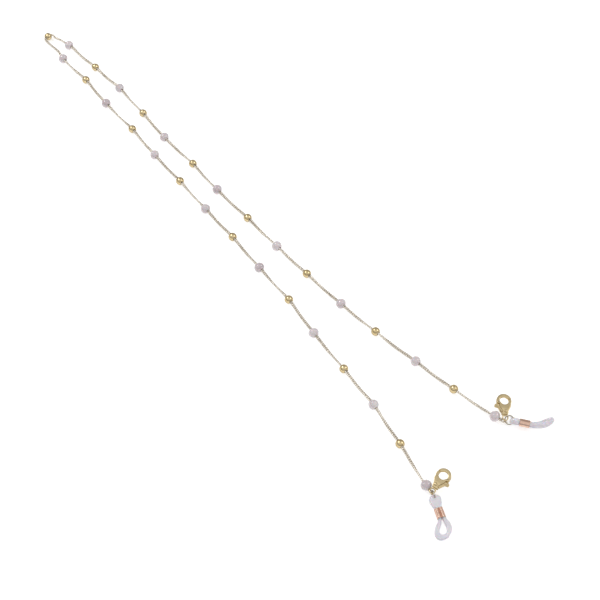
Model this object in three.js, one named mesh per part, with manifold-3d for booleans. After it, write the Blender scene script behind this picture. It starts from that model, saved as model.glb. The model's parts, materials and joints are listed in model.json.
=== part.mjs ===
// Beaded eyeglasses chain strap, folded in half and laid flat on a surface.
// Millimetres, +Z up, surface at z = 0. The two ends lie towards -Y and the fold towards +Y.
// "right" is the +X strand and "left" is the -X strand.
import * as THREE from 'three';
import { mergeVertices } from 'three/addons/utils/BufferGeometryUtils.js';
import Module from 'manifold-3d';

const wasm = await Module();
wasm.setup();

// ---------------------------------------------------------------- driving dimensions
const CHAIN_RADIUS = 0.45;           // plain round stand-in for the curb chain
const CHAIN_SIDES = 8;
const SPAN_HEIGHT = 1.5;             // the chain's height half-way between two beads

const PEARL_RADIUS = 2.45;           // across the bore
const PEARL_HALF_LENGTH = 2.2;       // along the bore
const PEARL_BORE = 1.0;
const GOLD_RADIUS = 1.9;
const GOLD_BORE = 0.9;
const BEAD_SIDES = 12;
const BEAD_RINGS = 6;

const END_LINK_RADIUS = 0.72;        // centre line of the wire
const END_LINK_WIRE = 0.2;
const JUMP_RING_RADIUS = 1.88;
const JUMP_RING_WIRE = 0.25;

const HOOK = { x: 7.7, outer: 3.2, inner: 2.25, thick: 1.3 };   // the clasp's open ring
const EYE = { outer: 1.3, hole: 0.85, thick: 0.6 };             // the clasp's tail eye
const BODY_THICK = 2.1;
const SLOT_WIDTH = 1.2;
const LEVER_THICK = 0.8;
const PIVOT = { x: 2.9, y: 0.3, rivet: 0.4, hole: 0.5 };
const GATE_REACH = 6.0;              // from the pivot to the gate's tip
const NOSE_REACH = 6.25;             // from the pivot to the hook's nose

const HOLDER = {
  headLength: 3.9, headHalf: 2.35, depth: 2,
  holeX: 1.4, hole: 0.62, holeOffset: 1.68,
  legInner: 0.08, legOuter: 1.42,
  legEnd: 10.2, bendStart: 8.4, widestX: 14.8, loopHalf: 3.65, length: 18.7, strand: 1.95,
};
const SLEEVE = { length: 4.3, half: 1.72, halfDepth: 1.45, wall: 0.22, corner: 0.6 };

// Where the beads sit, from the fold to the end: x and y of each bead's centre.
// Odd places are pearls and even places are gold beads.
const RIGHT_BEADS = [
  [5, -12.5], [7, -35], [8, -56.5], [7.5, -78.5], [6, -99.5],
  [7, -122.5], [6, -144], [7, -167], [7, -189.5], [8, -210.5],
  [9, -233.5], [11.5, -254.5], [14.5, -277.5], [18, -298], [22, -318.8],
];
const LEFT_BEADS = [
  [-3, -19.5], [-2, -40], [-3.5, -61.5], [-3, -84.5], [-4.5, -106.5],
  [-4.5, -128], [-5.5, -150.5], [-5.5, -172], [-7, -194.5], [-7.5, -217],
  [-10.5, -238.5], [-12, -261], [-14, -283], [-17.5, -304], [-22.2, -325.2],
];
const FOLD_BEAD = [0.15, 0.7];
// The chain's turn through the bead at the fold, from the left strand to the right one.
// The fourth and fifth points are the ends of the bead's bore.
const FOLD_TURN = [
  [-1.6, -12.5, 1.6], [-2.3, -3.6, 1.7], [-2.2, -0.9, 1.9], [-1.53, 0.2, 1.9],
  [1.83, 1.2, 1.9], [2.7, 0.2, 1.9], [2.75, -2, 1.8], [4.3, -6, 1.6],
];

// Each end: the jump ring's centre, its plane and what hangs on it. Angles in degrees.
const ENDS = {
  left: {
    ring: [-23, -330.47, 2.5], heading: -115, lean: 0,
    link: -38, eye: 24, clasp: { yaw: 13, pitch: -10, roll: 0 },
    holder: { yaw: 2.6, droop: 4.9, sideBend: -2.8, liftBend: 0, sleeve: 5.6 },
  },
  right: {
    ring: [25.35, -324, 2.6], heading: -52.6, lean: 45,
    link: -42, eye: 16, clasp: { yaw: 51, pitch: -7, roll: 184 },
    holder: { yaw: 0, droop: 0, sideBend: 0, liftBend: 55, sleeve: 4 },
  },
};

// ---------------------------------------------------------------- materials
function metal(color, roughness) {
  return new THREE.MeshStandardMaterial({ color, roughness, metalness: 1 });
}
const GOLD = metal(0xd9b873, 0.25);
const CHAIN_GOLD = metal(0xcdb892, 0.35);
const STEEL = metal(0xa8a49a, 0.35);
const ROSE_GOLD = metal(0xe0a688, 0.3);
const PEARL = new THREE.MeshStandardMaterial({ color: 0xe2d6d8, roughness: 0.25, metalness: 0 });
const SILICONE = new THREE.MeshStandardMaterial({
  color: 0xe4e1e8, roughness: 0.4, metalness: 0, transparent: true, opacity: 0.8,
});

// ---------------------------------------------------------------- helpers
const rad = THREE.MathUtils.degToRad;

function piece(name, geometry, material) {
  const mesh = new THREE.Mesh(geometry, material);
  mesh.name = name;
  return mesh;
}

// A closed geometry as a solid that can be joined and cut.
function toSolid(geometry) {
  const bare = geometry.clone();
  bare.deleteAttribute('normal');
  bare.deleteAttribute('uv');
  const merged = mergeVertices(bare, 1e-4);
  return new wasm.Manifold(new wasm.Mesh({
    numProp: 3,
    vertProperties: new Float32Array(merged.attributes.position.array),
    triVerts: new Uint32Array(merged.index.array),
  }));
}

function fromSolid(solid) {
  const { vertProperties, triVerts } = solid.getMesh();
  const geometry = new THREE.BufferGeometry();
  geometry.setAttribute('position', new THREE.BufferAttribute(vertProperties, 3));
  geometry.setIndex(new THREE.BufferAttribute(triVerts, 1));
  geometry.computeVertexNormals();
  return geometry;
}

// A flat outline made solid, centred on z = 0.
function plate(shape, thick, curveSegments = 10) {
  const geometry = new THREE.ExtrudeGeometry(shape, { depth: thick, bevelEnabled: false, curveSegments });
  return geometry.translate(0, 0, -thick / 2);
}

function polygon(points) {
  return new THREE.Shape(points.map(([x, y]) => new THREE.Vector2(x, y)));
}

// A round pin along Z.
function disc(radius, thick, x, y, sides = 20) {
  return new THREE.CylinderGeometry(radius, radius, thick, sides).rotateX(Math.PI / 2).translate(x, y, 0);
}

function block(x0, x1, y0, y1, thick) {
  return new THREE.BoxGeometry(x1 - x0, y1 - y0, thick).translate((x0 + x1) / 2, (y0 + y1) / 2, 0);
}

// Part of a flat ring between two angles.
function sector(x, outer, inner, from, to) {
  const shape = new THREE.Shape();
  shape.absarc(x, 0, outer, rad(from), rad(to), false);
  shape.absarc(x, 0, inner, rad(to), rad(from), true);
  return shape;
}

// A path whose steps fall on its own points.
class PointPath extends THREE.Curve {
  constructor(points) {
    super();
    this.points = points;
  }

  index(u) {
    return Math.round(u * (this.points.length - 1));
  }

  getPointAt(u, target = new THREE.Vector3()) {
    return target.copy(this.points[this.index(u)]);
  }

  getTangentAt(u, target = new THREE.Vector3()) {
    const i = this.index(u);
    const before = this.points[Math.max(i - 1, 0)];
    const here = this.points[i];
    const after = this.points[Math.min(i + 1, this.points.length - 1)];
    const incoming = here.clone().sub(before).normalize();
    const outgoing = after.clone().sub(here).normalize();
    return target.copy(incoming).add(outgoing).normalize();
  }
}

function tube(points, radius, sides) {
  const section = new THREE.Shape();
  for (let i = 0; i < sides; i++) {
    const angle = (2 * Math.PI * i) / sides;
    const x = radius * Math.cos(angle);
    const y = radius * Math.sin(angle);
    if (i === 0) section.moveTo(x, y);
    else section.lineTo(x, y);
  }
  const path = new PointPath(points);
  return new THREE.ExtrudeGeometry(section, { steps: points.length - 1, extrudePath: path });
}

// ---------------------------------------------------------------- beads and chain
// A drilled bead whose bore runs along Y.
function beadGeometry(radius, halfLength, bore) {
  const halfBore = halfLength * Math.sqrt(1 - (bore / radius) ** 2);
  const tilt = Math.acos(bore / radius);
  const profile = [];
  for (let i = 0; i <= BEAD_RINGS; i++) {
    const angle = tilt * ((2 * i) / BEAD_RINGS - 1);
    profile.push(new THREE.Vector2(radius * Math.cos(angle), halfLength * Math.sin(angle)));
  }
  profile[0].set(bore, -halfBore);
  profile[BEAD_RINGS].set(bore, halfBore);
  profile.push(profile[0].clone());
  return new THREE.LatheGeometry(profile, BEAD_SIDES);
}

const isPearl = (place) => place % 2 === 0;       // counted from 0, away from the fold
const PEARL_SHAPE = beadGeometry(PEARL_RADIUS, PEARL_HALF_LENGTH, PEARL_BORE);
const GOLD_SHAPE = beadGeometry(GOLD_RADIUS, GOLD_RADIUS, GOLD_BORE);

function numbered(name, count) {
  return `${name}_${String(count).padStart(2, '0')}`;
}

// Every bead in order along the chain, from the left end, through the fold, to the right end.
function beadRow() {
  const left = LEFT_BEADS.map(([x, y], place) => ({ x, y, pearl: isPearl(place) })).reverse();
  const fold = { x: FOLD_BEAD[0], y: FOLD_BEAD[1], pearl: false, fold: true };
  const right = RIGHT_BEADS.map(([x, y], place) => ({ x, y, pearl: isPearl(place) }));
  const row = [...left, fold, ...right];
  row.forEach((bead) => {
    bead.centre = new THREE.Vector3(bead.x, bead.y, bead.pearl ? PEARL_RADIUS : GOLD_RADIUS);
  });
  return row;
}

// The direction of each bead's bore: level, from one neighbour to the next.
function setBores(row, start, finish) {
  row.forEach((bead, i) => {
    let before = i > 0 ? row[i - 1].centre : start;
    let after = i < row.length - 1 ? row[i + 1].centre : finish;
    if (bead.fold) {
      before = new THREE.Vector3(...FOLD_TURN[3]);
      after = new THREE.Vector3(...FOLD_TURN[4]);
    } else if (i === 0 || i === row.length - 1) {
      // the last bead turns half-way towards the end link
      before = bead.centre.clone().sub(bead.centre.clone().sub(before).normalize());
      after = bead.centre.clone().add(after.clone().sub(bead.centre).normalize());
    }
    bead.bore = after.clone().sub(before).setZ(0).normalize();
  });
}

function beadMeshes(row) {
  const counts = { pearl_bead: 0, gold_bead: 0 };
  return row.map((bead) => {
    const name = bead.pearl ? 'pearl_bead' : 'gold_bead';
    counts[name] += 1;
    const shape = bead.pearl ? PEARL_SHAPE : GOLD_SHAPE;
    const mesh = piece(numbered(name, counts[name]), shape, bead.pearl ? PEARL : GOLD);
    mesh.position.copy(bead.centre);
    mesh.quaternion.setFromUnitVectors(new THREE.Vector3(0, 1, 0), bead.bore);
    return mesh;
  });
}

// Straight through each pearl, then sagging a little half-way to the next bead.
function chainMesh(row, start, finish) {
  const points = [start];
  row.forEach((bead, i) => {
    const next = row[i + 1];
    if (bead.fold) {
      FOLD_TURN.forEach((point) => points.push(new THREE.Vector3(...point)));
      return;
    }
    if (bead.pearl) {
      points.push(bead.centre.clone().addScaledVector(bead.bore, -PEARL_HALF_LENGTH));
      points.push(bead.centre.clone().addScaledVector(bead.bore, PEARL_HALF_LENGTH));
    } else {
      points.push(bead.centre);
    }
    if (next && !next.fold) {
      points.push(bead.centre.clone().lerp(next.centre, 0.5).setZ(SPAN_HEIGHT));
    }
  });
  points.push(finish);
  return piece('chain', tube(points, CHAIN_RADIUS, CHAIN_SIDES), CHAIN_GOLD);
}

// ---------------------------------------------------------------- lobster clasp
// Built flat: the tail eye's centre at the origin, the hook towards +X, the thumb tab on -Y.
function claspBody() {
  const nose = toSolid(plate(sector(HOOK.x, HOOK.outer, HOOK.inner, -178, 100), HOOK.thick, 14));
  const behindNose = toSolid(disc(NOSE_REACH, 4, PIVOT.x, PIVOT.y, 64))
    .intersect(toSolid(block(0, 12, 1.2, 8, 3)));
  const cheeks = toSolid(plate(polygon([
    [1.5, -1], [2, -1.15], [3.4, -1.9], [5, -2.75], [7.2, -3.15],
    [6.8, 0], [5.9, 2.7], [4.8, 2.5], [3.4, 1.65], [2, 1.05], [1.5, 0.9],
  ]), BODY_THICK)).subtract(toSolid(disc(HOOK.inner, 4, HOOK.x, 0, 28)));
  const eye = toSolid(disc(EYE.outer, EYE.thick, 0, 0)).add(toSolid(block(0.6, 2.1, -0.75, 0.75, EYE.thick)));
  const slot = toSolid(block(1.75, 7, -1.7, 4, SLOT_WIDTH))
    .add(toSolid(block(2.6, 6.15, -5, -1.6, SLOT_WIDTH)));
  const solid = nose.subtract(behindNose).add(cheeks).add(eye).subtract(slot)
    .subtract(toSolid(disc(EYE.hole, 4, 0, 0)))
    .subtract(toSolid(disc(PIVOT.hole, 4, PIVOT.x, PIVOT.y, 16)));
  return fromSolid(solid);
}

// Gate on +Y, thumb tab on -Y, turning about the rivet. Its origin is on the rivet's axis.
function claspLever() {
  const gate = toSolid(plate(sector(HOOK.x, HOOK.outer - 0.05, HOOK.inner + 0.05, 60, 168), LEVER_THICK, 12))
    .intersect(toSolid(disc(GATE_REACH, 4, PIVOT.x, PIVOT.y, 64)));
  const boss = toSolid(disc(0.85, LEVER_THICK, PIVOT.x, PIVOT.y));
  const arm = toSolid(plate(polygon([
    [2.7, 1.05], [3.3, -0.35], [5.5, -0.9], [5.55, 1], [4.7, 1.7],
  ]), LEVER_THICK));
  const tab = toSolid(plate(polygon([
    [2.9, -0.4], [3.8, -1.5], [4.5, -2.7], [4.9, -4.2], [5.9, -4.2], [5.6, -2.6], [5.2, -1], [3.6, 0.6],
  ]), LEVER_THICK));
  const solid = gate.add(boss).add(arm).add(tab)
    .subtract(toSolid(disc(PIVOT.hole, 4, PIVOT.x, PIVOT.y, 16)));
  return fromSolid(solid).translate(-PIVOT.x, -PIVOT.y, 0);
}

// A headed pin along Z.
function claspRivet() {
  const shank = BODY_THICK / 2 + 0.08;
  const head = shank + 0.2;
  const profile = [
    [0, -head], [0.62, -head], [0.62, -shank], [PIVOT.rivet, -shank],
    [PIVOT.rivet, shank], [0.62, shank], [0.62, head], [0, head],
  ].map(([r, z]) => new THREE.Vector2(r, z));
  return new THREE.LatheGeometry(profile, 12).rotateX(Math.PI / 2);
}

// A hairpin between the slot's back wall and the thumb arm.
function claspSpring() {
  const points = [[2.0, -0.75], [2.05, -1.15], [2.3, -1.45], [2.65, -1.4], [2.95, -1.1], [3.1, -0.95]]
    .map(([x, y]) => new THREE.Vector3(x, y, 0));
  return tube(points, 0.11, 6);
}

function clasp(side) {
  const group = new THREE.Group();
  const lever = piece(`${side}_clasp_lever`, claspLever(), GOLD);
  const rivet = piece(`${side}_clasp_rivet`, claspRivet(), GOLD);
  lever.position.set(PIVOT.x, PIVOT.y, 0);
  rivet.position.set(PIVOT.x, PIVOT.y, 0);
  group.add(piece(`${side}_clasp_body`, claspBody(), GOLD), lever, rivet);
  group.add(piece(`${side}_clasp_spring`, claspSpring(), STEEL));
  return group;
}

// ---------------------------------------------------------------- silicone holder
// Built flat: the head's end at the origin, the loop towards +X, its depth along Z.
function holderOutline(sideBend) {
  const h = HOLDER;
  const bend = (x, y) => {
    const past = Math.max(0, (x - h.legEnd) / (h.length - h.legEnd));
    return new THREE.Vector2(x, y + sideBend * past ** 1.4);
  };
  const arc = (centreX, halfX, halfY, steps) => {
    const points = [];
    for (let i = 0; i <= steps; i++) {
      const angle = Math.PI / 2 - (Math.PI * i) / steps;
      points.push([centreX + halfX * Math.cos(angle), halfY * Math.sin(angle)]);
    }
    return points;
  };
  const mirrored = (half) => [...half].reverse().map(([x, y]) => [x, -y]);
  const head = [[0, 1.3], [0.6, 2.0], [1.5, h.headHalf], [2.7, 2.25], [h.headLength, h.legOuter]];
  const flank = [[h.legEnd, h.legOuter], [11.6, 2.2], [13.1, 3.1]];
  const tip = arc(h.widestX, h.length - h.widestX, h.loopHalf, 12);
  const upper = [...head, ...flank];
  const outer = [...upper, ...tip, ...mirrored(upper)].reverse();
  const innerFlank = [
    [h.headLength + 0.2, h.legInner], [h.legEnd, h.legInner], [11.8, 0.55], [13.2, 1.25],
  ];
  const innerTip = arc(h.widestX, h.length - h.strand - h.widestX, h.loopHalf - h.strand, 10);
  const inner = [...innerFlank, ...innerTip, ...mirrored(innerFlank)];
  const shape = new THREE.Shape(outer.map(([x, y]) => bend(x, y)));
  shape.holes.push(new THREE.Path(inner.map(([x, y]) => bend(x, y))));
  return shape;
}

// Curves a solid upwards past startX, as a springy strip does.
function lift(solid, startX, length, degrees) {
  if (degrees === 0) return solid;
  const radius = length / rad(degrees);
  return solid.refineToLength(2).warp((point) => {
    const angle = (point[0] - startX) / radius;
    if (angle <= 0) return;
    const arm = radius - point[2];
    point[0] = startX + arm * Math.sin(angle);
    point[2] = radius - arm * Math.cos(angle);
  });
}

function siliconeLoop(options) {
  const h = HOLDER;
  const flat = toSolid(plate(holderOutline(options.sideBend), h.depth));
  const bent = lift(flat, h.bendStart, h.length - h.bendStart, options.liftBend);
  return fromSolid(bent.subtract(toSolid(disc(h.hole, 4, h.holeX, 0, 16))));
}

function roundedBox(half, halfDepth, corner) {
  const shape = new THREE.Shape();
  shape.absarc(half - corner, halfDepth - corner, corner, 0, Math.PI / 2, false);
  shape.absarc(corner - half, halfDepth - corner, corner, Math.PI / 2, Math.PI, false);
  shape.absarc(corner - half, corner - halfDepth, corner, Math.PI, 1.5 * Math.PI, false);
  shape.absarc(half - corner, corner - halfDepth, corner, 1.5 * Math.PI, 2 * Math.PI, false);
  return shape;
}

// A metal sleeve round both legs. Its origin is the middle of its end nearest the head.
function sleeve() {
  const s = SLEEVE;
  const shape = roundedBox(s.half, s.halfDepth, s.corner);
  shape.holes.push(roundedBox(s.half - s.wall, s.halfDepth - s.wall, s.corner - s.wall));
  const extrusion = { depth: s.length, bevelEnabled: false, curveSegments: 5 };
  const geometry = new THREE.ExtrudeGeometry(shape, extrusion);
  return geometry.rotateY(Math.PI / 2).rotateX(Math.PI / 2);
}

function holder(side, options) {
  const group = new THREE.Group();
  group.add(piece(`${side}_silicone_loop`, siliconeLoop(options), SILICONE));
  const ferrule = piece(`${side}_sleeve`, sleeve(), ROSE_GOLD);
  ferrule.position.x = options.sleeve;
  group.add(ferrule);
  return group;
}

// ---------------------------------------------------------------- one end of the strap
// Inside the jump ring's frame X points at the holder, Z is the ring's own upward direction
// and Y is its axle. The chain's end link and the clasp's eye sit on the far side.
function ringFrame(end) {
  const heading = new THREE.Vector3(Math.cos(rad(end.heading)), Math.sin(rad(end.heading)), 0);
  const across = new THREE.Vector3(0, 0, 1).cross(heading);
  const up = new THREE.Vector3(0, 0, Math.cos(rad(end.lean)))
    .addScaledVector(across, Math.sin(rad(end.lean)));
  const axle = up.clone().cross(heading);
  return new THREE.Matrix4().makeBasis(heading, axle, up).setPosition(...end.ring);
}

function onRing(degrees) {
  const angle = rad(degrees);
  return new THREE.Vector3(-Math.cos(angle), 0, Math.sin(angle)).multiplyScalar(JUMP_RING_RADIUS);
}

function strapEnd(side) {
  const end = ENDS[side];
  const group = new THREE.Group();
  const ringGroup = new THREE.Group();
  ringGroup.applyMatrix4(ringFrame(end));
  group.add(ringGroup);

  const ring = new THREE.TorusGeometry(JUMP_RING_RADIUS, JUMP_RING_WIRE, 8, 24).rotateX(Math.PI / 2);
  ringGroup.add(piece(`${side}_jump_ring`, ring, STEEL));

  const linkShape = new THREE.TorusGeometry(END_LINK_RADIUS, END_LINK_WIRE, 6, 14);
  const link = piece(`${side}_chain_end_link`, linkShape, CHAIN_GOLD);
  link.position.copy(onRing(end.link));
  link.rotation.y = rad(end.link);
  ringGroup.add(link);

  const holderGroup = holder(side, end.holder);
  holderGroup.rotation.set(0, rad(end.holder.droop), rad(end.holder.yaw), 'ZYX');
  const hole = new THREE.Vector3(HOLDER.holeX, 0, 0).applyEuler(holderGroup.rotation);
  holderGroup.position.set(HOLDER.holeOffset, 0, 0).sub(hole);
  ringGroup.add(holderGroup);

  const claspGroup = clasp(side);
  claspGroup.position.copy(onRing(end.eye)).applyMatrix4(ringFrame(end));
  claspGroup.rotation.set(rad(end.clasp.roll), rad(end.clasp.pitch), rad(end.clasp.yaw), 'ZYX');
  group.add(claspGroup);
  return group;
}

// Where the chain stops, facing the end link.
function chainStop(side, lastBead) {
  const end = ENDS[side];
  const link = onRing(end.link).applyMatrix4(ringFrame(end));
  const last = new THREE.Vector3(lastBead[0], lastBead[1], PEARL_RADIUS);
  const reach = END_LINK_RADIUS + END_LINK_WIRE + 0.3;
  return link.clone().add(last.sub(link).normalize().multiplyScalar(reach));
}

// ---------------------------------------------------------------- the whole strap
function strap() {
  const group = new THREE.Group();
  const start = chainStop('left', LEFT_BEADS.at(-1));
  const finish = chainStop('right', RIGHT_BEADS.at(-1));
  const row = beadRow();
  setBores(row, start, finish);
  group.add(chainMesh(row, start, finish), ...beadMeshes(row), strapEnd('left'), strapEnd('right'));

  // origin at the middle of the strap's footprint, on the surface it lies on
  group.updateMatrixWorld(true);
  const box = new THREE.Box3().setFromObject(group, true);
  const centre = box.getCenter(new THREE.Vector3());
  group.position.set(-centre.x, -centre.y, -box.min.z);
  return group;
}

export default strap();
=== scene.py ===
# Beaded eyeglasses chain strap: materials, detailed pieces, light and camera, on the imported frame.
# Lengths in comments and in the part's own drawings are millimetres; the scene is in metres.
import json
import math

import bmesh
import bpy
import numpy as np
from mathutils import Matrix, Vector, noise


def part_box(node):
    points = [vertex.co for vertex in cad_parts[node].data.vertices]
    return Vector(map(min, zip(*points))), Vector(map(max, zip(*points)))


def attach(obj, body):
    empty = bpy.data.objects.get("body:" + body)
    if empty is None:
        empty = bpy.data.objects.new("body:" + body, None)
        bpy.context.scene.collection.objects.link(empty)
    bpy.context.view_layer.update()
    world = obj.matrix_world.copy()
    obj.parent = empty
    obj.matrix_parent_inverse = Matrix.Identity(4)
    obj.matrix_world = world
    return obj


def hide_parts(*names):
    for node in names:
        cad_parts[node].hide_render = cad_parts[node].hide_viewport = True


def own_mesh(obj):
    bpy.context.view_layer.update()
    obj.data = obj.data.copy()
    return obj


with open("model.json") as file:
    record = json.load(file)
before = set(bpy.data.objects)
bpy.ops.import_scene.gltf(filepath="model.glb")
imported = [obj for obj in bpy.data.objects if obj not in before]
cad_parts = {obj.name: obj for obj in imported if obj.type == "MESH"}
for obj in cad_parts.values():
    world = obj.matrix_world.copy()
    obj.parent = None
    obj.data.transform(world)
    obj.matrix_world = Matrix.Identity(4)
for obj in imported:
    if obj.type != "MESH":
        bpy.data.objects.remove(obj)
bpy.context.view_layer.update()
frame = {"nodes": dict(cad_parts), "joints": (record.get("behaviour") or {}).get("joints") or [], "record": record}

MM = 0.001
RECORD = frame["record"]
SIDES = ("left", "right")

# ------------------------------------------------------------------ the route, as in the CAD
RIGHT_BEADS = [
    (5, -12.5), (7, -35), (8, -56.5), (7.5, -78.5), (6, -99.5),
    (7, -122.5), (6, -144), (7, -167), (7, -189.5), (8, -210.5),
    (9, -233.5), (11.5, -254.5), (14.5, -277.5), (18, -298), (22, -318.8),
]
LEFT_BEADS = [
    (-3, -19.5), (-2, -40), (-3.5, -61.5), (-3, -84.5), (-4.5, -106.5),
    (-4.5, -128), (-5.5, -150.5), (-5.5, -172), (-7, -194.5), (-7.5, -217),
    (-10.5, -238.5), (-12, -261), (-14, -283), (-17.5, -304), (-22.2, -325.2),
]
FOLD_BEAD = (0.15, 0.7)
FOLD_TURN = [
    (-1.6, -12.5, 1.6), (-2.3, -3.6, 1.7), (-2.2, -0.9, 1.9), (-1.53, 0.2, 1.9),
    (1.83, 1.2, 1.9), (2.7, 0.2, 1.9), (2.75, -2, 1.8), (4.3, -6, 1.6),
]
PEARL_RADIUS, PEARL_HALF = 2.45, 2.2
GOLD_RADIUS = 1.9
PEARL_BORE, GOLD_BORE, BORE_RIM = 0.8, 0.82, 0.12
SPAN_HEIGHT = 1.5        # the chain's height half way between two beads
END_GAP = 1.22           # from an end link's middle to the end of the route

low, high = (Vector(corner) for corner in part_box("gold_bead_08"))
ORIGIN = (low + high) / 2 - Vector((*FOLD_BEAD, GOLD_RADIUS)) * MM


def row_point(point):
    """A point in the strap's own millimetres, moved to the row frame in metres."""
    return ORIGIN + Vector(point) * MM


# ------------------------------------------------------------------ camera, light and floor
def aim(obj, target):
    obj.rotation_euler = (target - obj.location).to_track_quat("-Z", "Y").to_euler()


camera = bpy.data.objects.new("camera", bpy.data.cameras.new("camera"))
bpy.context.collection.objects.link(camera)
camera.data.lens = 74.6
camera.data.sensor_width = 36
camera.data.clip_start = 0.01
camera.location = row_point((-211.8, -482.9, 446.4))
aim(camera, row_point((-2.9, -219.2, 0)))
bpy.context.scene.camera = camera
bpy.context.scene.view_settings.view_transform = "Standard"


def area_light(name, place, size, energy):
    light = bpy.data.lights.new(name, "AREA")
    light.shape = "RECTANGLE"
    light.size = light.size_y = size
    light.energy = energy
    obj = bpy.data.objects.new(name, light)
    bpy.context.collection.objects.link(obj)
    obj.location = place
    aim(obj, Vector((0, 0, 0)))


# two soft boxes, and a sky that darkens towards the horizon and in one patch, for contrast on the metal
area_light("key", (-0.35, 0.75, 1.1), 0.4, 4.5)
area_light("fill", (0.9, -0.7, 0.9), 0.4, 3)

world = bpy.data.worlds.new("studio")
bpy.context.scene.world = world
world.use_nodes = True
tree = world.node_tree
direction = tree.nodes.new("ShaderNodeTexCoord")
height = tree.nodes.new("ShaderNodeSeparateXYZ")
ramp = tree.nodes.new("ShaderNodeValToRGB")
tree.links.new(direction.outputs["Generated"], height.inputs[0])
tree.links.new(height.outputs["Z"], ramp.inputs[0])
card = tree.nodes.new("ShaderNodeVectorMath")
card.operation = "DOT_PRODUCT"
card.inputs[1].default_value = (0.4, 0.42, 0.815)
shade = tree.nodes.new("ShaderNodeMapRange")
shade.inputs["From Min"].default_value = 0.86
shade.inputs["From Max"].default_value = 0.985
shade.inputs["To Min"].default_value = 1.0
shade.inputs["To Max"].default_value = 0.42
dimmed = tree.nodes.new("ShaderNodeVectorMath")
dimmed.operation = "SCALE"
tree.links.new(direction.outputs["Generated"], card.inputs[0])
tree.links.new(card.outputs["Value"], shade.inputs["Value"])
tree.links.new(ramp.outputs[0], dimmed.inputs[0])
tree.links.new(shade.outputs["Result"], dimmed.inputs["Scale"])
tree.links.new(dimmed.outputs["Vector"], tree.nodes["Background"].inputs["Color"])
tree.nodes["Background"].inputs["Strength"].default_value = 0.9
ramp.color_ramp.elements[0].position = 0.0
ramp.color_ramp.elements[0].color = (0.22, 0.22, 0.23, 1)
ramp.color_ramp.elements[1].position = 0.62
ramp.color_ramp.elements[1].color = (1, 1, 1, 1)
middle = ramp.color_ramp.elements.new(0.3)
middle.color = (0.42, 0.42, 0.44, 1)


# ------------------------------------------------------------------ materials
def linear(r, g, b):
    """A colour given as it looks on screen, 0 to 255."""
    def one(value):
        value = value / 255
        return value / 12.92 if value <= 0.04045 else ((value + 0.055) / 1.055) ** 2.4
    return (one(r), one(g), one(b), 1)


def surface(name, dark, light, roughness, metallic=0.0, grain=(900, 0.02), cloud=220, **sockets):
    """A material with clouded colour, a little uneven roughness and a fine bump."""
    material = bpy.data.materials.new(name)
    material.use_nodes = True
    nodes, links = material.node_tree.nodes, material.node_tree.links
    shader = nodes["Principled BSDF"]
    shader.inputs["Metallic"].default_value = metallic
    for socket, value in sockets.items():
        shader.inputs[socket.replace("_", " ")].default_value = value
    place = nodes.new("ShaderNodeTexCoord")
    clouds = nodes.new("ShaderNodeTexNoise")
    clouds.inputs["Scale"].default_value = cloud
    clouds.inputs["Detail"].default_value = 3
    links.new(place.outputs["Object"], clouds.inputs["Vector"])
    colours = nodes.new("ShaderNodeValToRGB")
    colours.color_ramp.elements[0].position, colours.color_ramp.elements[0].color = 0.32, dark
    colours.color_ramp.elements[1].position, colours.color_ramp.elements[1].color = 0.68, light
    links.new(clouds.outputs["Fac"], colours.inputs[0])
    links.new(colours.outputs[0], shader.inputs["Base Color"])
    fine = nodes.new("ShaderNodeTexNoise")
    fine.inputs["Scale"].default_value = grain[0]
    fine.inputs["Detail"].default_value = 4
    links.new(place.outputs["Object"], fine.inputs["Vector"])
    spread = nodes.new("ShaderNodeMapRange")
    spread.inputs["To Min"].default_value = roughness * 0.8
    spread.inputs["To Max"].default_value = roughness * 1.25
    links.new(fine.outputs["Fac"], spread.inputs["Value"])
    links.new(spread.outputs["Result"], shader.inputs["Roughness"])
    bump = nodes.new("ShaderNodeBump")
    bump.inputs["Strength"].default_value = grain[1] * 10
    bump.inputs["Distance"].default_value = 0.00002
    links.new(fine.outputs["Fac"], bump.inputs["Height"])
    links.new(bump.outputs["Normal"], shader.inputs["Normal"])
    return material


MATERIALS = {
    "gold_plate": surface("gold_plate", linear(207, 186, 141), linear(220, 201, 160), 0.29, 1.0,
                          grain=(1500, 0.03), Specular_Tint=(0.3, 0.24, 0.14, 1)),
    "chain_gold": surface("chain_gold", linear(219, 211, 199), linear(233, 226, 214), 0.34, 1.0,
                          grain=(2500, 0.03), cloud=90, Specular_Tint=(0.6, 0.56, 0.5, 1)),
    "ring_metal": surface("ring_metal", linear(172, 164, 148), linear(194, 186, 170), 0.25, 1.0,
                          Specular_Tint=(0.3, 0.28, 0.25, 1)),
    "rose_gold": surface("rose_gold", linear(214, 176, 156), linear(230, 196, 177), 0.24, 1.0,
                         grain=(1800, 0.04), Specular_Tint=(0.4, 0.28, 0.22, 1)),
    "spring_steel": surface("spring_steel", linear(165, 162, 155), linear(190, 187, 180), 0.3, 1.0),
    "pearl": surface("pearl", linear(192, 178, 182), linear(218, 210, 211), 0.24, 0.0,
                     grain=(700, 0.05), cloud=75, Coat_Weight=0.6, Coat_Roughness=0.12,
                     Sheen_Weight=0.25, Sheen_Roughness=0.4, Subsurface_Weight=0.12,
                     Subsurface_Scale=0.001, IOR=1.6),
    "silicone": surface("silicone", linear(230, 228, 234), linear(239, 237, 242), 0.34, 0.0,
                        grain=(600, 0.03), cloud=120, Transmission_Weight=0.35, IOR=1.41,
                        Subsurface_Weight=0.3, Subsurface_Scale=0.002),
}
floor_material = surface("floor", linear(205, 205, 205), linear(208, 208, 208), 0.7, 0.0, cloud=3,
                         Emission_Color=(1, 1, 1, 1), Emission_Strength=0.6)
floor_mesh = bpy.data.meshes.new("floor")
FLOOR_HALF, FLOOR_HEIGHT = 3, -5e-5
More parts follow.
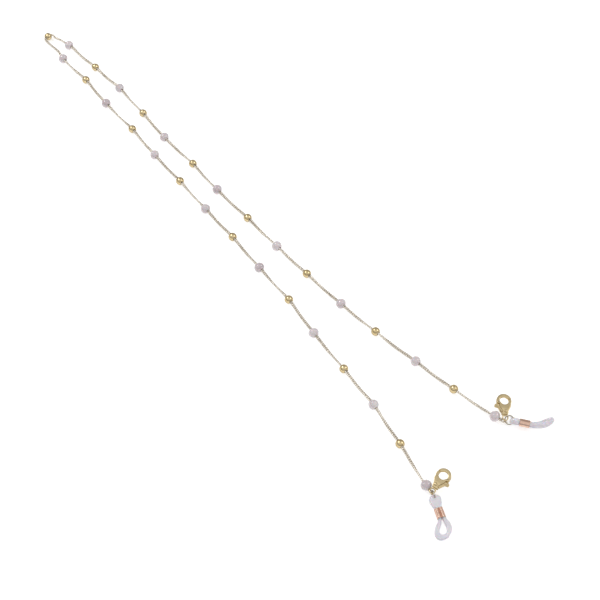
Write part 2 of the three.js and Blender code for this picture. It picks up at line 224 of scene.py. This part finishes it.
floor_mesh.from_pydata([(x * FLOOR_HALF, y * FLOOR_HALF, FLOOR_HEIGHT) for x, y in
                        ((-1, -1), (1, -1), (1, 1), (-1, 1))], [], [(0, 1, 2, 3)])
floor = bpy.data.objects.new("floor", floor_mesh)
bpy.context.collection.objects.link(floor)
floor.data.materials.append(floor_material)


# ------------------------------------------------------------------ mesh helpers, millimetres
def mesh_object(name, points, faces, smooth=True):
    mesh = bpy.data.meshes.new(name)
    mesh.from_pydata([tuple(p) for p in points], [], faces)
    mesh.validate()
    mesh.update()
    if smooth:
        mesh.shade_smooth()
    obj = bpy.data.objects.new(name, mesh)
    bpy.context.collection.objects.link(obj)
    return obj


def grid_faces(rows, columns, close_rows=False, first=0):
    """Quads over rows of points that close on themselves."""
    faces = []
    for i in range(rows if close_rows else rows - 1):
        for j in range(columns):
            a, b = i * columns + j, i * columns + (j + 1) % columns
            c, d = ((i + 1) % rows) * columns + (j + 1) % columns, ((i + 1) % rows) * columns + j
            faces.append(tuple(first + k for k in (a, b, c, d)))
    return faces


def sweep(points, sections, closed=False, up=(0, 0, 1)):
    """A skin over sections, each an array of (across, up) pairs, along points."""
    points = np.array(points, float)
    count = len(points)
    if closed:
        tangents = np.roll(points, -1, 0) - np.roll(points, 1, 0)
    else:
        tangents = np.gradient(points, axis=0)
    tangents /= np.linalg.norm(tangents, axis=1)[:, None]
    across = np.cross(np.array(up, float), tangents)
    across /= np.linalg.norm(across, axis=1)[:, None]
    normal = np.cross(tangents, across)
    rings = []
    for i in range(count):
        section = np.asarray(sections[i])
        rings.append(points[i] + section[:, :1] * across[i] + section[:, 1:] * normal[i])
    columns = len(rings[0])
    faces = grid_faces(count, columns, closed)
    if not closed:
        faces.append(tuple(reversed(range(columns))))
        faces.append(tuple((count - 1) * columns + j for j in range(columns)))
    return np.concatenate(rings), faces


def oval(half_across, half_up, power=2.0, steps=20):
    angle = np.linspace(0, 2 * math.pi, steps, endpoint=False)
    c, s = np.cos(angle), np.sin(angle)
    return np.stack([half_across * np.sign(c) * np.abs(c) ** (2 / power),
                     half_up * np.sign(s) * np.abs(s) ** (2 / power)], 1)


def lathe(profile, steps=40):
    """A closed (radius, along) profile turned about Y."""
    angle = np.linspace(0, 2 * math.pi, steps, endpoint=False)
    rings = [np.stack([r * np.cos(angle), np.full(steps, y), r * np.sin(angle)], 1) for r, y in profile]
    return np.concatenate(rings), grid_faces(len(profile), steps, True)


def modify(obj, kind, **settings):
    """Adds one modifier and applies it."""
    modifier = obj.modifiers.new(kind, kind)
    for key, value in settings.items():
        setattr(modifier, key, value)
    bpy.context.view_layer.update()
    shape = bpy.data.meshes.new_from_object(obj.evaluated_get(bpy.context.evaluated_depsgraph_get()))
    obj.modifiers.clear()
    old = obj.data
    obj.data = shape
    bpy.data.meshes.remove(old)


def soften(obj, voxel, rounds):
    modify(obj, "REMESH", mode="VOXEL", voxel_size=voxel)
    modify(obj, "SMOOTH", factor=0.5, iterations=rounds)
    obj.data.shade_smooth()


def settle(obj, name, matrix, body, slot, nodes=()):
    """Gives a part drawn in millimetres its place in the row frame, its material and its body."""
    obj.name = name
    obj.data.transform(matrix @ Matrix.Scale(MM, 4))
    obj.data.materials.clear()
    obj.data.materials.append(MATERIALS[slot])
    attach(obj, body)
    if nodes:
        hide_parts(*nodes)
    return obj


# ------------------------------------------------------------------ where the fittings are
JOINTS = {joint["name"]: joint for joint in frame["joints"]}
MOUNTS = {mount["name"]: mount for mount in RECORD["mounts"]}
PIVOT = (2.9, 0.3)       # the lever's pin, from the middle of the clasp's tail eye
MOUNT_ALONG, MOUNT_ABOVE = 2.9, 1.0       # the temple mount, from the start of a holder's head


def axes(origin, x, y, z):
    return Matrix.Translation(origin) @ Matrix([x, y, z]).transposed().to_4x4()


def clasp_frame(side):
    swing, pull = JOINTS[f"{side}_clasp_swing"], JOINTS[f"{side}_lever_pull"]
    z = -Vector(pull["axis"]).normalized()
    eye, pivot = Vector(swing["pos_m"]), Vector(pull["pos_m"])
    towards = (pivot - eye).normalized()
    lean = math.atan2(PIVOT[1], PIVOT[0])
    x = Matrix.Rotation(-lean, 3, z) @ towards
    return axes(eye, x, z.cross(x), z)


def holder_frame(side):
    mount = MOUNTS[f"{side}_temple_holder"]
    x = Vector(JOINTS[f"{side}_sleeve_slide"]["axis"]).normalized()
    z = Vector(mount["axis"]).normalized()
    origin = Vector(mount["pos_m"]) - x * MOUNT_ALONG * MM - z * MOUNT_ABOVE * MM
    return axes(origin, x, z.cross(x), z)


def ring_frame(side):
    joint = JOINTS[f"{side}_holder_swing"]
    centre, axle = Vector(joint["pos_m"]), -Vector(joint["axis"]).normalized()
    link = Vector(JOINTS[f"{side}_ring_swivel"]["pos_m"])
    x = (centre - link).normalized()
    return axes(centre, x, axle, x.cross(axle))


# ------------------------------------------------------------------ beads
def bead_row():
    row = [(x, y, place % 2 == 0) for place, (x, y) in enumerate(LEFT_BEADS)][::-1]
    row += [(*FOLD_BEAD, False)]
    row += [(x, y, place % 2 == 0) for place, (x, y) in enumerate(RIGHT_BEADS)]
    return [(Vector((x, y, PEARL_RADIUS if pearl else GOLD_RADIUS)), pearl) for x, y, pearl in row]


BEADS = bead_row()
FOLD = len(LEFT_BEADS)


def strap_millimetres(point):
    return (Vector(point) - ORIGIN) / MM


def chain_stop(side, last):
    """Where the chain's route ends, facing the end link."""
    link = strap_millimetres(JOINTS[f"{side}_ring_swivel"]["pos_m"])
    return link + (last - link).normalized() * END_GAP


START = chain_stop("left", BEADS[0][0])
FINISH = chain_stop("right", BEADS[-1][0])


def bore_of(i):
    centre = BEADS[i][0]
    if i == FOLD:
        bore = Vector(FOLD_TURN[4]) - Vector(FOLD_TURN[3])
    elif i == 0:
        bore = (BEADS[1][0] - centre).normalized() + (centre - START).normalized()
    elif i == len(BEADS) - 1:
        bore = (centre - BEADS[i - 1][0]).normalized() + (FINISH - centre).normalized()
    else:
        bore = BEADS[i + 1][0] - BEADS[i - 1][0]
    bore.z = 0
    return bore.normalized()


BORES = [bore_of(i) for i in range(len(BEADS))]


def bead_profile(radius, half, bore, rim, steps=22):
    """The outside from bore to bore, a rounded rim at each end, then back through the bore."""
    tilt = math.acos((bore + rim) / radius)
    outside = [(radius * math.cos(a), half * math.sin(a)) for a in np.linspace(-tilt, tilt, steps)]
    end = outside[-1][1]
    lip = [(bore + rim * (1 - math.sin(a)),
            end - rim * 0.6 * (1 - math.cos(a)) + rim * 0.25 * math.sin(2 * a))
           for a in np.linspace(0.3, math.pi / 2, 4)]
    inside = [(bore, y) for y in np.linspace(lip[-1][1] - 0.1, -(lip[-1][1] - 0.1), 4)]
    return outside + lip + inside + [(r, -y) for r, y in reversed(lip)]


def bead_place(i):
    bore = BORES[i]
    side = Vector((bore.y, -bore.x, 0))
    return axes(row_point(BEADS[i][0]), side, bore, side.cross(bore))


def gold_bead(i):
    points, faces = lathe(bead_profile(GOLD_RADIUS, GOLD_RADIUS, GOLD_BORE, BORE_RIM), 44)
    seed = Vector((i * 3.7, 1.3, 8.1))
    for k, point in enumerate(points):
        # cast beads are never quite even
        points[k] = point * (0.994 + noise.noise(Vector(point) * 0.5 + seed) * 0.006)
    return points, faces


def pearl(i):
    """A freshwater pearl: slightly drop-shaped and dented, drilled through."""
    points, faces = lathe(bead_profile(PEARL_RADIUS, PEARL_HALF, PEARL_BORE, BORE_RIM, 30), 52)
    seed = Vector((i * 5.3, i * 2.9, 4.7))
    wide = 0.02 * math.sin(i * 2.4)
    drop = 0.03 * math.sin(i * 1.7 + 0.6)
    for k, point in enumerate(points):
        around = math.hypot(point[0], point[2])
        share = min(1, max(0, (around - 0.85) / 1.1))
        dent = (noise.noise(Vector(point) * 0.38 + seed) * 0.06
                + noise.noise(Vector(point) * 1.1 + seed) * 0.015)
        scale = 0.955 + wide + drop * point[1] / PEARL_HALF + dent
        scale = 1 + (scale - 1) * share
        points[k] = (point[0] * scale, point[1] * (1 - 0.03 * share), point[2] * scale)
    return points, faces


def joined(parts):
    points, faces, count = [], [], 0
    for some_points, some_faces in parts:
        points.append(np.asarray(some_points))
        faces += [tuple(k + count for k in face) for face in some_faces]
        count += len(some_points)
    return np.concatenate(points), faces


def placed(shape, matrix):
    """Points in a part's millimetres, moved to the row frame in metres."""
    points, faces = shape
    turn = np.array(matrix.to_3x3()) * MM
    return points @ turn.T + np.array(matrix.translation), faces


def row_piece(name, shape, body, slot, nodes):
    obj = mesh_object(name, *shape)
    obj.data.materials.append(MATERIALS[slot])
    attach(obj, body)
    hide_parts(*nodes)
    return obj


gold_places = [i for i, (_, is_pearl) in enumerate(BEADS) if not is_pearl]
pearl_places = [i for i, (_, is_pearl) in enumerate(BEADS) if is_pearl]
for name, places in (("left_gold_beads", [i for i in gold_places if i < FOLD]),
                     ("fold_gold_bead", [FOLD]),
                     ("right_gold_beads", [i for i in gold_places if i > FOLD])):
    nodes = [f"gold_bead_{gold_places.index(i) + 1:02d}" for i in places]
    shape = joined([placed(gold_bead(i), bead_place(i)) for i in places])
    row_piece(name, shape, "strand", "gold_plate", nodes)
for count, i in enumerate(pearl_places, 1):
    shape = placed(pearl(i), bead_place(i))
    row_piece(f"pearl_{count:02d}", shape, "strand", "pearl",
                                  [f"pearl_bead_{count:02d}"])


# ------------------------------------------------------------------ the curb chain
def route():
    """The CAD's own points, from the left end to the right end."""
    points = [START]
    for i, (centre, is_pearl) in enumerate(BEADS):
        if i == FOLD:
            points += [Vector(p) for p in FOLD_TURN]
            continue
        if is_pearl:
            points += [centre - BORES[i] * PEARL_HALF, centre + BORES[i] * PEARL_HALF]
        else:
            points.append(centre.copy())
        if i < len(BEADS) - 1 and i + 1 != FOLD:
            middle = centre.lerp(BEADS[i + 1][0], 0.5)
            points.append(Vector((middle.x, middle.y, SPAN_HEIGHT)))
    return points + [FINISH]


def smooth_route(points, step):
    """A centripetal Catmull-Rom curve, in even steps."""
    p = np.array([tuple(point) for point in points], float)
    p = np.concatenate([[2 * p[0] - p[1]], p, [2 * p[-1] - p[-2]]])
    line = []
    for i in range(1, len(p) - 2):
        a, b, c, d = p[i - 1:i + 3]
        t0 = 0.0
        t1 = t0 + math.sqrt(np.linalg.norm(b - a))
        t2 = t1 + math.sqrt(np.linalg.norm(c - b))
        t3 = t2 + math.sqrt(np.linalg.norm(d - c))
        for t in np.linspace(t1, t2, max(2, int(np.linalg.norm(c - b) / 0.1)), endpoint=False):
            ab = (t1 - t) / (t1 - t0) * a + (t - t0) / (t1 - t0) * b
            bc = (t2 - t) / (t2 - t1) * b + (t - t1) / (t2 - t1) * c
            cd = (t3 - t) / (t3 - t2) * c + (t - t2) / (t3 - t2) * d
            abc = (t2 - t) / (t2 - t0) * ab + (t - t0) / (t2 - t0) * bc
            bcd = (t3 - t) / (t3 - t1) * bc + (t - t1) / (t3 - t1) * cd
            line.append((t2 - t) / (t2 - t1) * abc + (t - t1) / (t2 - t1) * bcd)
    line.append(p[-2])
    line = np.array(line)
    along = np.concatenate([[0], np.cumsum(np.linalg.norm(np.diff(line, axis=0), axis=1))])
    even = np.arange(0, along[-1], step)
    return np.stack([np.interp(even, along, line[:, k]) for k in range(3)], 1)


PITCH = 1.0              # from link to link
# one twisted link: half its length and width, how far its strands cross, its wire, its flattened face
LINK = {"half": 0.75, "side": 0.52, "rise": 0.255, "wire": 0.25, "flat": 0.48}
STEP = 0.25              # between points of the route
LINE = smooth_route(route(), STEP)
LENGTH = STEP * (len(LINE) - 1)
REACH_IN = 0.75          # how far the last link runs past the route's end, into the end link


def along_route(distance):
    """Points, tangents, sideways and upward directions at distances along the route."""
    inner = np.clip(distance, 0, LENGTH)
    at = np.arange(len(LINE)) * STEP
    tangents = np.gradient(LINE, axis=0)
    tangents /= np.linalg.norm(tangents, axis=1)[:, None]
    point = np.stack([np.interp(inner, at, LINE[:, k]) for k in range(3)], 1)
    tangent = np.stack([np.interp(inner, at, tangents[:, k]) for k in range(3)], 1)
    tangent /= np.linalg.norm(tangent, axis=1)[:, None]
    point = point + tangent * (distance - inner)[:, None]
    across = np.cross((0, 0, 1), tangent)
    across /= np.linalg.norm(across, axis=1)[:, None]
    return point, tangent, across, np.cross(tangent, across)


def end_twist(side, distance):
    """The turn that sets the last link upright in the end link's opening."""
    axis = np.array(JOINTS[f"{side}_ring_swivel"]["axis"], float)
    _, _, across, up = along_route(np.array([distance]))
    return math.atan2(-float(up[0] @ axis), float(-across[0] @ axis))


def twist(distance):
    free = 0.9 * np.sin(2 * math.pi * distance / 61 + 0.7) + 0.5 * np.sin(2 * math.pi * distance / 23)
    for side, end in (("left", 0.0), ("right", LENGTH)):
        gap = np.clip(1 - np.abs(distance - end) / 9, 0, 1)
        share = gap * gap * (3 - 2 * gap)
        free = free * (1 - share) + end_twist(side, end) * share
    return free


def curb_chain():
    count = int(round((LENGTH + 2 * REACH_IN - 2 * LINK["half"]) / PITCH))
    pitch = (LENGTH + 2 * REACH_IN - 2 * LINK["half"]) / count
    t = np.linspace(0, 2 * math.pi, 18, endpoint=False)
    core = np.stack([LINK["half"] * np.cos(t), LINK["side"] * np.sin(t),
                     LINK["rise"] * np.sin(2 * t)], 1)
    tangent = np.roll(core, -1, 0) - np.roll(core, 1, 0)
    tangent /= np.linalg.norm(tangent, axis=1)[:, None]
    outward = np.cross(tangent, (0, 0, 1))
    outward /= np.linalg.norm(outward, axis=1)[:, None]
    upward = np.cross(outward, tangent)
    around = np.linspace(0, 2 * math.pi, 7, endpoint=False)
    skin = (np.cos(around)[None, :, None] * outward[:, None]
            + np.sin(around)[None, :, None] * upward[:, None])
    one = (core[:, None] + LINK["wire"] * skin).reshape(-1, 3)
    one[:, 2] = np.clip(one[:, 2], -LINK["flat"], LINK["flat"])
    starts = -REACH_IN + LINK["half"] + pitch * np.arange(count + 1)
    distance = (starts[:, None] + one[None, :, 0]).ravel()
    y = np.tile(one[:, 1], len(starts))
    z = np.tile(one[:, 2], len(starts))
    point, _, across, up = along_route(distance)
    turn = twist(np.repeat(starts, len(one)))
    side = np.cos(turn)[:, None] * across + np.sin(turn)[:, None] * up
    rise = -np.sin(turn)[:, None] * across + np.cos(turn)[:, None] * up
    points = point + y[:, None] * side + z[:, None] * rise
    faces = []
    ring = grid_faces(len(t), len(around), True)
    for k in range(len(starts)):
        first = k * len(one)
        faces += [tuple(first + v for v in face) for face in ring]
    return points, faces


chain_points, chain_faces = curb_chain()
chain = row_piece("curb_chain", (chain_points * MM + np.array(ORIGIN), chain_faces), "strand",
                  "chain_gold", ["chain"])


# ------------------------------------------------------------------ jump rings and end links
RING = {"radius": 1.88, "wire": 0.25, "gap": 0.05}
RING_GAP_AT = {"left": 200, "right": 250}         # degrees round the ring
END_LINK = {"radius": 0.72, "wire": 0.2}
LARGEST_TILT = 0.6       # of an end link, radians


def wire_ring(radius, wire, gap=0.0, steps=72):
    """A wire ring in XZ round Y, with its two ends facing each other across a gap."""
    half = gap / radius / 2
    angle = np.linspace(half, 2 * math.pi - half, steps, endpoint=gap > 0)
    points = np.stack([radius * np.cos(angle), np.zeros(steps), radius * np.sin(angle)], 1)
    return sweep(points, [oval(wire, wire, 2, 14)] * steps, gap == 0, up=(0, 1, 0))


def link_matrix(side):
    """The end link's place, tipped towards the pull of the chain as far as its hole lets it."""
    joint = JOINTS[f"{side}_ring_swivel"]
    normal, centre = Vector(joint["axis"]).normalized(), Vector(joint["pos_m"])
    pull = (row_point(BEADS[0][0] if side == "left" else BEADS[-1][0]) - centre).normalized()
    wanted = math.pi / 2 - normal.angle(pull)
    tilt = max(-LARGEST_TILT, min(LARGEST_TILT, wanted))
    normal = Matrix.Rotation(-tilt, 3, normal.cross(pull).normalized()) @ normal
    along = (pull - normal * pull.dot(normal)).normalized()
    return axes(centre, along, normal, along.cross(normal))


for side in SIDES:
    turn = Matrix.Rotation(math.radians(RING_GAP_AT[side]), 4, "Y")
    ring = mesh_object(f"{side}_ring", *wire_ring(**RING))
    settle(ring, f"{side}_split_ring", ring_frame(side) @ turn, f"{side}_ring", "ring_metal",
           [f"{side}_jump_ring"])
    link = mesh_object(f"{side}_link", *wire_ring(**END_LINK))
    settle(link, f"{side}_end_link", link_matrix(side), "strand", "chain_gold",
           [f"{side}_chain_end_link"])


# ------------------------------------------------------------------ lobster clasps
def cad_copy(node, matrix):
    """A CAD node's shape in the part's own millimetres, to be rounded off as a casting is."""
    mesh = frame["nodes"][node].data.copy()
    mesh.transform(Matrix.Scale(1 / MM, 4) @ matrix.inverted())
    obj = bpy.data.objects.new(node + "_cast", mesh)
    bpy.context.collection.objects.link(obj)
    return obj


def extruded(outline, thick):
    count = len(outline)
    points = [(x, y, -thick / 2) for x, y in outline] + [(x, y, thick / 2) for x, y in outline]
    faces = [tuple(reversed(range(count))), tuple(range(count, 2 * count))]
    faces += [(i, (i + 1) % count, count + (i + 1) % count, count + i) for i in range(count)]
    return np.array(points, float), faces


def rivet():
    """A pin along Z with a low domed head at each end."""
    shank, shank_radius, head_radius, head_rise = 1.05 + 0.08, 0.4, 0.62, 0.2
    dome = [(head_radius * math.cos(a), shank + head_rise * math.sin(a))
            for a in np.linspace(0, math.pi / 2 - 0.05, 7)]
    profile = [(shank_radius, shank)] + dome + [(0.005, shank + head_rise)]
    profile = [(r, -z) for r, z in reversed(profile)] + profile
    points, faces = lathe(profile, 28)
    points = points[:, [0, 2, 1]]
    return points, [tuple(reversed(face)) for face in faces]


def hairpin():
    """The spring wire between the cheeks, from the body's wall to the lever."""
    anchors = np.array([(2.0, -0.75), (2.05, -1.15), (2.3, -1.45),
                        (2.65, -1.4), (2.95, -1.1), (3.1, -0.95)])
    at = np.linspace(0, 5, 31)
    line = np.stack([np.interp(at, range(6), anchors[:, k]) for k in (0, 1)], 1)
    for _ in range(6):
        line[1:-1] = (line[:-2] + 2 * line[1:-1] + line[2:]) / 4
    points = np.column_stack([line, np.zeros(len(line))])
    return sweep(points, [oval(0.11, 0.11, 2, 10)] * len(points))


EDGE = [(2.0, -1.15), (3.4, -1.9), (5.0, -2.75), (7.2, -3.15)]     # the casting's edge on the thumb side


def edge_at(x):
    return float(np.interp(x, [p[0] for p in EDGE], [p[1] for p in EDGE]))


def window(x, low, high, soft):
    """1 between low and high, falling to 0 over soft on either side."""
    return max(0.0, min(1.0, (x - low) / soft + 1, (high - x) / soft + 1))


HOOK_X = 7.7             # the middle of the hook's ring
HOOK_FILL = 0.36         # how far its inner wall is moved
HOOK_MIDDLE, HOOK_SOFT = 3.05, 0.75       # the radius from which nothing moves, and the fade up to it


def fill_hook(obj):
    """Moves the hook's inner wall inwards, for the fuller ring of a casting."""
    for vertex in obj.data.vertices:
        x, y, z = vertex.co
        reach = math.hypot(x - HOOK_X, y)
        share = max(0.0, min(1.0, (HOOK_MIDDLE - reach) / HOOK_SOFT))
        scale = (reach - HOOK_FILL * share) / max(reach, 0.01)
        vertex.co = (HOOK_X + (x - HOOK_X) * scale, y * scale, z)
    obj.data.update()


def shape_body(obj):
    """Thins the casting towards its tail, widens its neck and sets its thumb side back for the lever."""
    eye_end, full_depth, thin = 1.4, 4, 0.72
    for vertex in obj.data.vertices:
        x, y, z = vertex.co
        if x < eye_end:
            z *= 1.2
        elif x < full_depth:
            z *= thin + (1 - thin) * (x - eye_end) / (full_depth - eye_end)
        y *= 1 + 0.3 * window(x, 0.9, 2.0, 0.8)
        share = window(x, 2.5, 6.2, 0.4) * max(0.0, min(1.0, (edge_at(x) + 1.5 - y) / 1.2))
        vertex.co = (x, y + 0.7 * share, z)
    obj.data.update()


def lever_bar():
    """The lever's broad back, which closes the body's slot on the thumb side, and its rounded knob."""
    xs = np.linspace(2.35, 6.1, 16)
    line = np.array([(x, edge_at(x) + 0.3, 0) for x in xs])
    for _ in range(3):
        line[1:-1] = (line[:-2] + 2 * line[1:-1] + line[2:]) / 4
    ends = np.clip(np.minimum(np.arange(16), np.arange(16)[::-1]) / 1.5 + 0.6, 0, 1)
    bar = sweep(line, [oval(0.5 * e, 1.0 * e, 2.3, 20) for e in ends])
    path = np.array([(5.35, -2.6, 0), (5.5, -3.0, 0), (5.62, -3.4, 0), (5.7, -3.75, 0),
                     (5.74, -4.05, 0)])
    sizes = [(0.5, 0.8), (0.52, 0.8), (0.6, 0.86), (0.6, 0.86), (0.42, 0.62)]
    knob = sweep(path, [oval(a, b, 2.6, 20) for a, b in sizes])
    return joined([bar, knob])


cast_body = cad_copy("left_clasp_body", clasp_frame("left"))
soften(cast_body, voxel=0.075, rounds=22)
shape_body(cast_body)
fill_hook(cast_body)
modify(cast_body, "SMOOTH", factor=0.5, iterations=2)
cast_body.data.shade_smooth()
cast_lever = cad_copy("left_clasp_lever", clasp_frame("left"))
bar_points, bar_faces = lever_bar()
lever_points = np.array([tuple(v.co) for v in cast_lever.data.vertices])
lever_faces = [tuple(f.vertices) for f in cast_lever.data.polygons]
bpy.data.objects.remove(cast_lever)
cast_lever = mesh_object("lever_cast", *joined([(lever_points, lever_faces), (bar_points, bar_faces)]))
soften(cast_lever, voxel=0.06, rounds=4)
fill_hook(cast_lever)
for side in SIDES:
    for kind, body, slot, source in (("clasp_body", "clasp", "gold_plate", cast_body),
                                     ("clasp_lever", "lever", "gold_plate", cast_lever)):
        mesh = source.data.copy()
        obj = bpy.data.objects.new(kind, mesh)
        bpy.context.collection.objects.link(obj)
        settle(obj, f"{side}_{kind}_cast", clasp_frame(side), f"{side}_{body}", slot, [f"{side}_{kind}"])
    pin_points, pin_faces = rivet()
    pin = mesh_object("pin", pin_points + np.array([*PIVOT, 0]), pin_faces)
    settle(pin, f"{side}_rivet_domed", clasp_frame(side), f"{side}_clasp", "gold_plate",
           [f"{side}_clasp_rivet"])
    spring = mesh_object("spring", *hairpin())
    settle(spring, f"{side}_hairpin_spring", clasp_frame(side), f"{side}_clasp", "spring_steel",
           [f"{side}_clasp_spring"])
for obj in (cast_body, cast_lever):
    bpy.data.objects.remove(obj)


# ------------------------------------------------------------------ silicone holders
LEG_END, BEND_START, HOLDER_LENGTH = 10.2, 8.4, 18.7
BEND = {"left": (-2.8, 0), "right": (0, 55)}      # the tip's shift to the side, and its lift in degrees
SLEEVE_AT = {"left": 5.6, "right": 4}             # where the sleeve starts
SEAM = {"left": 9.2, "right": 7.6}                # where head and loop meet, inside the sleeve
HALF_DEPTH = {"left": 1.1, "right": 1.15}
HOLE_X, HOLE_RADIUS = 1.4, 0.62
LOOP_X, LOOP_LENGTH, LOOP_HALF, LOOP_WIRE = 14.8, 2.925, 2.675, 1.1       # the round end of the loop
SLEEVE_LENGTH, SLEEVE_WALL = 4.3, 0.22
RIDGE_AT, RIDGE_HALF, RIDGE_DEPTH = 0.84, 0.98, 1.47


def strand_line():
    """The middle of the silicone strand from the head round the loop and back: x, y, half width."""
    keys = [(3.2, 0.75, 0.68), (5, 0.75, 0.67), (7.5, 0.75, 0.67), (LEG_END - 0.4, 0.76, 0.68),
            (11.0, 1.08, 0.8), (11.9, 1.55, 0.97), (13.15, 2.2, 1.08)]
    arc = [(LOOP_X + LOOP_LENGTH * math.sin(a), LOOP_HALF * math.cos(a), LOOP_WIRE)
           for a in np.linspace(0, math.pi, 15)]
    keys = keys + arc + [(x, -y, w) for x, y, w in reversed(keys)]
    keys = np.array(keys)
    along = np.concatenate([[0], np.cumsum(np.linalg.norm(np.diff(keys[:, :2], axis=0), axis=1))])
    even = np.linspace(0, along[-1], 150)
    line = np.stack([np.interp(even, along, keys[:, k]) for k in range(3)], 1)
    for _ in range(10):
        line[1:-1] = (line[:-2] + 2 * line[1:-1] + line[2:]) / 4
    return line


def head_outline(side):
    """The head's outline; it narrows to the legs just before the sleeve."""
    half = [(-0.05, 0.7), (0.05, 1.25), (0.35, 1.85), (0.9, 2.28), (1.5, 2.45)]
    if side == "left":
        half += [(2.6, 2.45), (3.6, 2.2), (4.5, 1.85), (5.2, 1.52), (5.6, 1.36)]
    else:
        half += [(2.4, 2.25), (3.1, 1.9), (3.7, 1.5), (4.1, 1.36)]
    return half + [(x, -y) for x, y in reversed(half)]


def holder_mesh(side):
    line = strand_line()
    depth = HALF_DEPTH[side]
    points = np.column_stack([line[:, 0], line[:, 1], np.zeros(len(line))])
    strand = mesh_object("strand", *sweep(points, [oval(w, depth, 2.8, 24) for w in line[:, 2]]))
    head = mesh_object("head", *extruded(list(reversed(head_outline(side))), 2 * depth), smooth=False)
    modify(head, "BEVEL", width=0.3, segments=3, limit_method="ANGLE")
    drill_points, drill_faces = lathe([(0.005, -3), (HOLE_RADIUS, -3), (HOLE_RADIUS, 3), (0.005, 3)], 32)
    drill = mesh_object("drill", drill_points[:, [0, 2, 1]] + np.array([HOLE_X, 0, 0]),
                        [tuple(reversed(face)) for face in drill_faces])
    modify(head, "BOOLEAN", operation="DIFFERENCE", solver="EXACT", object=drill)
    # one skin over strand and head, as moulded
    merged = joined([(np.array([tuple(v.co) for v in o.data.vertices]),
                      [tuple(f.vertices) for f in o.data.polygons]) for o in (strand, head)])
    for obj in (strand, head, drill):
        bpy.data.objects.remove(obj)
    whole = mesh_object("holder", *merged)
    soften(whole, voxel=0.11, rounds=6)
    side_bend, lift = BEND[side]
    radius = (HOLDER_LENGTH - BEND_START) / math.radians(lift) if lift else 0
    for vertex in whole.data.vertices:
        x, y, z = vertex.co
        past = max(0, (x - LEG_END) / (HOLDER_LENGTH - LEG_END))
        y += side_bend * past ** 1.4 * (1 - 0.25 * past ** 3)
        if lift and x > BEND_START:
            angle, arm = (x - BEND_START) / radius, radius - z
            x, z = BEND_START + arm * math.sin(angle), radius - arm * math.cos(angle)
        vertex.co = (x, y, z)
    whole.data.update()
    return whole


def cut_at(obj, x, keep_below):
    """Keeps one side of a cut across X and closes it."""
    mesh = bmesh.new()
    mesh.from_mesh(obj.data)
    geometry = mesh.verts[:] + mesh.edges[:] + mesh.faces[:]
    bmesh.ops.bisect_plane(mesh, geom=geometry, plane_co=(x, 0, 0), plane_no=(1, 0, 0),
                           clear_outer=keep_below, clear_inner=not keep_below)
    bmesh.ops.holes_fill(mesh, edges=[e for e in mesh.edges if e.is_boundary], sides=0)
    mesh.to_mesh(obj.data)
    mesh.free()
    obj.data.shade_smooth()


def sleeve_mesh():
    """A pressed sleeve with a ridge over each leg and a groove between them."""
    crease = math.acos(-RIDGE_AT / RIDGE_HALF)
    angle = np.linspace(crease, -crease, 37)
    right = np.stack([RIDGE_AT + RIDGE_HALF * np.cos(angle), RIDGE_DEPTH * np.sin(angle)], 1)[:-1]
    contour = np.concatenate([right, -right])

    def ring(grow, x):
        y = contour[:, 0] * (1 + grow / 1.72)
        z = contour[:, 1] * (1 + grow / 1.45)
        return np.stack([np.full(len(contour), x), y, z], 1)

    length, wall, edge = SLEEVE_LENGTH, SLEEVE_WALL, 0.08
    rings = [ring(-edge, 0.0), ring(-0.02, 0.03), ring(0, 0.12), ring(-0.03, 0.4)]
    rings += [ring(-0.03, x) for x in np.linspace(0.9, length - 0.9, 6)]
    rings += [ring(-0.03, length - 0.4), ring(0, length - 0.12), ring(-0.02, length - 0.03),
              ring(-edge, length)]
    rings += [ring(-wall + 0.03, length), ring(-wall, length - 0.1)]
    rings += [ring(-wall, x) for x in np.linspace(length - 0.6, 0.6, 5)]
    rings += [ring(-wall, 0.1), ring(-wall + 0.03, 0.0)]
    faces = grid_faces(len(rings), len(contour), True)
    return np.concatenate(rings), [tuple(reversed(face)) for face in faces]


for side in SIDES:
    place = holder_frame(side)
    whole = holder_mesh(side)
    loop = bpy.data.objects.new("loop", whole.data.copy())
    bpy.context.collection.objects.link(loop)
    cut_at(whole, SEAM[side], True)
    cut_at(loop, SEAM[side], False)
    settle(whole, f"{side}_holder_head", place, f"{side}_holder", "silicone", [f"{side}_silicone_loop"])
    settle(loop, f"{side}_holder_loop", place, f"{side}_holder", "silicone", [f"{side}_silicone_loop"])
    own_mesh(loop)
    points, faces = sleeve_mesh()
    sleeve = mesh_object("sleeve", points + np.array([SLEEVE_AT[side], 0, 0]), faces)
    settle(sleeve, f"{side}_pressed_sleeve", place, f"{side}_sleeve_body", "rose_gold",
           [f"{side}_sleeve"])
